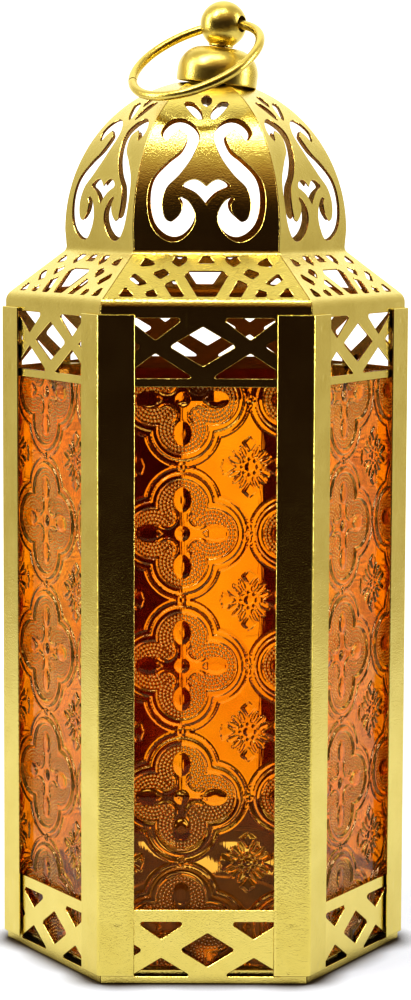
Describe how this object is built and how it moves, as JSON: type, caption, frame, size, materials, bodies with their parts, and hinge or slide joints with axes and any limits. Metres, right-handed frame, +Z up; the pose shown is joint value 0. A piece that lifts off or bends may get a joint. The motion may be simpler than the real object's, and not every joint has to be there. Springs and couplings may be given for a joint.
{
  "type": "moroccan lantern",
  "caption": "Hexagonal pierced-metal candle lantern with amber pressed-glass panes, pierced dome, leaning ball finial with a wire ring, and a hinged rear door.",
  "frame": {"origin": "middle of the underside of the base pan, on the surface the lantern stands on", "axes": "+Z up through the dome, -Y out of the front face, +X to the right of the front face"},
  "size_m": [0.1118, 0.1005, 0.26],
  "materials": {
    "gold_sheet": "satin gold lacquer with fine orange peel",
    "finial_gold": "satin gold, smoother",
    "plated_steel": "dull plated",
    "amber_glass": "pressed amber glass"
  },
  "bodies": {
    "case": {"base_pan": "gold_sheet", "candle_cup": "plated_steel", "wall_front": "gold_sheet", "glass_front": "amber_glass", "top_clip_front": "gold_sheet", "foot_clip_front": "gold_sheet", "wall_front_right": "gold_sheet", "glass_front_right": "amber_glass", "top_clip_front_right": "gold_sheet", "foot_clip_front_right": "gold_sheet", "wall_rear_right": "gold_sheet", "glass_rear_right": "amber_glass", "top_clip_rear_right": "gold_sheet", "foot_clip_rear_right": "gold_sheet", "wall_rear_left": "gold_sheet", "glass_rear_left": "amber_glass", "top_clip_rear_left": "gold_sheet", "foot_clip_rear_left": "gold_sheet", "wall_front_left": "gold_sheet", "glass_front_left": "amber_glass", "top_clip_front_left": "gold_sheet", "foot_clip_front_left": "gold_sheet", "corner_strip_front_right": "gold_sheet", "corner_strip_right": "gold_sheet", "corner_strip_rear_right": "gold_sheet", "corner_strip_rear_left": "gold_sheet", "corner_strip_left": "gold_sheet", "corner_strip_front_left": "gold_sheet", "wall_rear": "gold_sheet", "hinge_bracket_lower": "plated_steel", "hinge_bracket_upper": "plated_steel", "hinge_pin_lower": "plated_steel", "hinge_pin_upper": "plated_steel", "latch_rivet": "plated_steel", "finial_stud": "plated_steel", "finial_washer": "plated_steel", "finial_nut": "plated_steel", "finial_cap": "finial_gold", "finial_ball": "finial_gold"},
    "handle_ring": {"ring": "finial_gold"},
    "door": {"door_leaf": "gold_sheet", "door_glass": "amber_glass", "door_top_clip": "gold_sheet", "door_foot_clip": "gold_sheet"},
    "latch": {"latch_button": "plated_steel"}
  },
  "joints": [
    {"name": "ring_swing", "type": "hinge", "parent": "case", "child": "handle_ring", "pos_m": [0.0046, 0, 0.25333], "axis": [0.8397, -0.5391, 0.0663], "range_deg": [-256, 5.5]},
    {"name": "door_hinge", "type": "hinge", "parent": "case", "child": "door", "pos_m": [0.0249, 0.05035, 0.088], "axis": [0, 0, -1], "range_deg": [0, 165]},
    {"name": "latch_turn", "type": "hinge", "parent": "case", "child": "latch", "pos_m": [-0.0256, 0.05, 0.088], "axis": [0, -1, 0], "range_deg": [0, 90]}
  ]
}
